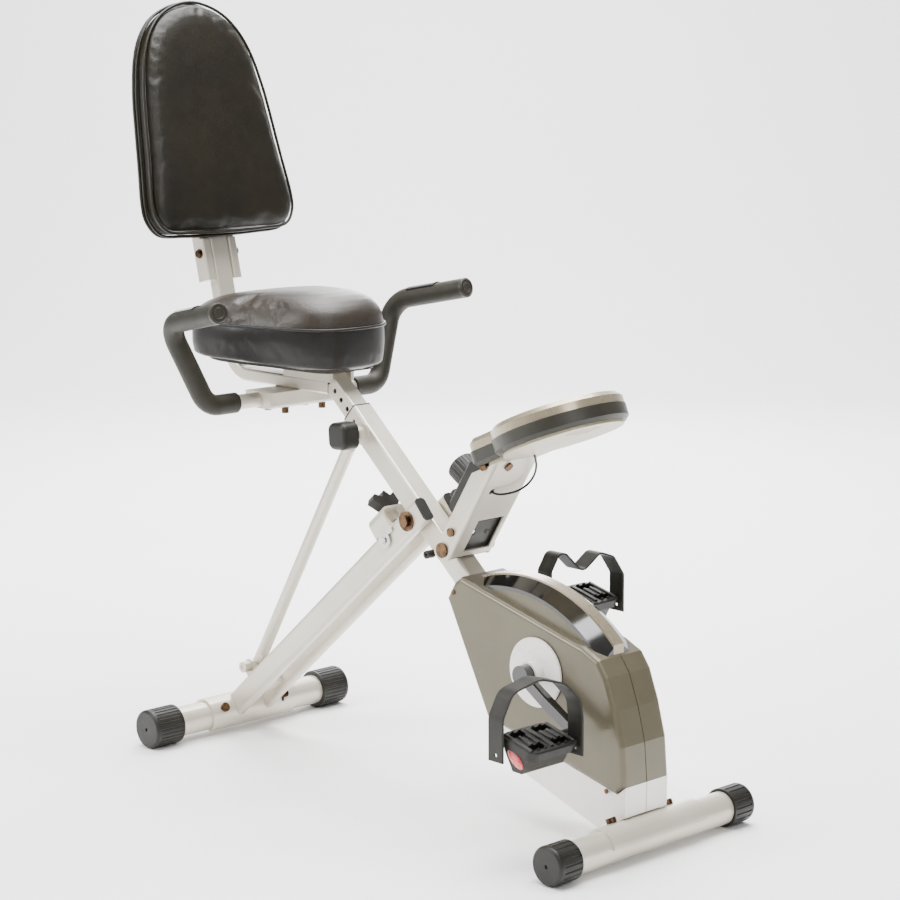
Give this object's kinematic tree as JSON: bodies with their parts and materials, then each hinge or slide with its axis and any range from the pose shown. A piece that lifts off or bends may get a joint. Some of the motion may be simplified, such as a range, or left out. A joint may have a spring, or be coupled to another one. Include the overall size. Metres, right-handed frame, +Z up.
{
  "type": "recumbent exercise bike",
  "caption": "Folding recumbent exercise bike: crossed X frame, padded seat and backrest, side grips, round console, strapped pedals and an enclosed magnetic drive.",
  "frame": {"origin": "middle of the footprint's bounding box, on the floor", "axes": "+X the way the rider faces, +Y to the rider's left, +Z up"},
  "size_m": [1.1214, 0.566, 1.2498],
  "materials": {
    "frame_paint": "semi-gloss metallic",
    "housing": "satin metallic",
    "skirt_silver": "satin",
    "black_plastic": "fine texture",
    "gloss_black": "high gloss",
    "silver_plastic": "satin",
    "white_plastic": "satin",
    "steel": "machined",
    "zinc": "yellow zinc plated",
    "cast_iron": "turned",
    "rubber": "matte",
    "foam": "closed foam",
    "vinyl": "grained vinyl",
    "board": "plywood",
    "beige_plastic": "satin",
    "charcoal": "fine texture",
    "screen": "flat"
  },
  "bodies": {
    "main_frame": {"main_tube": "frame_paint", "front_base_tube": "frame_paint", "front_base_caps": "black_plastic", "frame_bolts": "zinc", "pivot_bolt": "zinc", "fold_stop": "rubber", "seat_tube_collar": "black_plastic", "console_post": "frame_paint", "post_bracket": "charcoal", "tension_panel": "black_plastic", "console_back": "beige_plastic", "console_band": "charcoal", "console_bezel": "silver_plastic", "console_screen": "screen", "console_cable": "rubber", "right_shell": "housing", "left_shell": "housing", "lower_skirt": "skirt_silver", "guard_crest": "silver_plastic", "guard_trim": "gloss_black", "drive_mount": "frame_paint", "bearings": "steel", "drive_belt": "rubber"},
    "rear_frame": {"rear_legs": "frame_paint", "leg_plugs": "black_plastic", "rear_base_tube": "frame_paint", "rear_base_caps": "black_plastic", "rear_bolts": "zinc", "lock_bracket": "frame_paint", "strut_hook": "frame_paint"},
    "strut": {"support_strut": "frame_paint"},
    "lock_knob": {"fold_lock_knob": "black_plastic"},
    "safety_pin": {"safety_pin": "steel"},
    "seat_slide": {"seat_post": "frame_paint", "seat_pan": "board", "seat_cushion": "vinyl", "back_post": "frame_paint", "backrest_rails": "frame_paint", "backrest_board": "board", "backrest_cushion": "vinyl", "backrest_bolts": "zinc", "handlebar": "frame_paint", "handlebar_clamp": "frame_paint", "grips": "foam", "grip_caps": "charcoal", "pulse_sensors": "gloss_black"},
    "seat_lock": {"seat_lock_knob": "black_plastic"},
    "crankset": {"crank_axle": "steel", "crank_right": "gloss_black", "crank_left": "gloss_black", "crank_discs": "white_plastic", "drive_pulley": "charcoal"},
    "pedal_right": {"pedal_right": "black_plastic", "pedal_strap_right": "rubber"},
    "pedal_left": {"pedal_left": "black_plastic", "pedal_strap_left": "rubber"},
    "flywheel": {"flywheel": "cast_iron"},
    "magnet_arm": {"magnet_arm": "steel"},
    "tension_knob": {"tension_knob": "black_plastic"},
    "mode_button": {"mode_button": "gloss_black"}
  },
  "joints": [
    {"name": "frame_fold", "type": "hinge", "parent": "main_frame", "child": "rear_frame", "pos_m": [0.05404, 0, 0.437], "axis": [0, -1, 0], "range_deg": [0, 50]},
    {"name": "strut_swing", "type": "hinge", "parent": "main_frame", "child": "strut", "pos_m": [-0.11443, 0, 0.55287], "axis": [0, 1, 0], "range_deg": [0, 35]},
    {"name": "fold_lock_pull", "type": "slide", "parent": "rear_frame", "child": "lock_knob", "axis": [-0.6534, 0, 0.757], "range_m": [0, 0.012], "stiffness_N_per_m": 1500, "springref_m": -0.004},
    {"name": "safety_pin_pull", "type": "slide", "parent": "rear_frame", "child": "safety_pin", "axis": [0, -1, 0], "range_m": [0, 0.06]},
    {"name": "seat_slide", "type": "slide", "parent": "main_frame", "child": "seat_slide", "axis": [-0.7501, 0, 0.6613], "range_m": [-0.02, 0.12]},
    {"name": "seat_lock_pull", "type": "slide", "parent": "main_frame", "child": "seat_lock", "axis": [0, -1, 0], "range_m": [0, 0.01], "stiffness_N_per_m": 1500, "springref_m": -0.004},
    {"name": "crank_spin", "type": "hinge", "parent": "main_frame", "child": "crankset", "pos_m": [0.34974, 0, 0.25], "axis": [0, 1, 0], "continuous": true},
    {"name": "pedal_right_spin", "type": "hinge", "parent": "crankset", "child": "pedal_right", "pos_m": [0.45864, -0.162, 0.18864], "axis": [0, 1, 0], "continuous": true},
    {"name": "pedal_left_spin", "type": "hinge", "parent": "crankset", "child": "pedal_left", "pos_m": [0.24084, 0.162, 0.31136], "axis": [0, 1, 0], "continuous": true},
    {"name": "flywheel_spin", "type": "hinge", "parent": "main_frame", "child": "flywheel", "pos_m": [0.43674, -0.033, 0.208], "axis": [0, 1, 0], "continuous": true},
    {"name": "tension_turn", "type": "hinge", "parent": "main_frame", "child": "tension_knob", "pos_m": [0.14794, 0, 0.52426], "axis": [-0.8434, 0, 0.5373], "range_deg": [0, 300]},
    {"name": "magnet_swing", "type": "hinge", "parent": "main_frame", "child": "magnet_arm", "pos_m": [0.36152, -0.033, 0.17292], "axis": [0, 1, 0], "range_deg": [0, 6]},
    {"name": "mode_press", "type": "slide", "parent": "main_frame", "child": "mode_button", "axis": [0.3907, 0, -0.9205], "range_m": [0, 0.002], "stiffness_N_per_m": 400}
  ],
  "couplings": [
    {"joint": "flywheel_spin", "follows": "crank_spin", "ratio": 3.449},
    {"joint": "magnet_swing", "follows": "tension_turn", "ratio": 0.02}
  ]
}
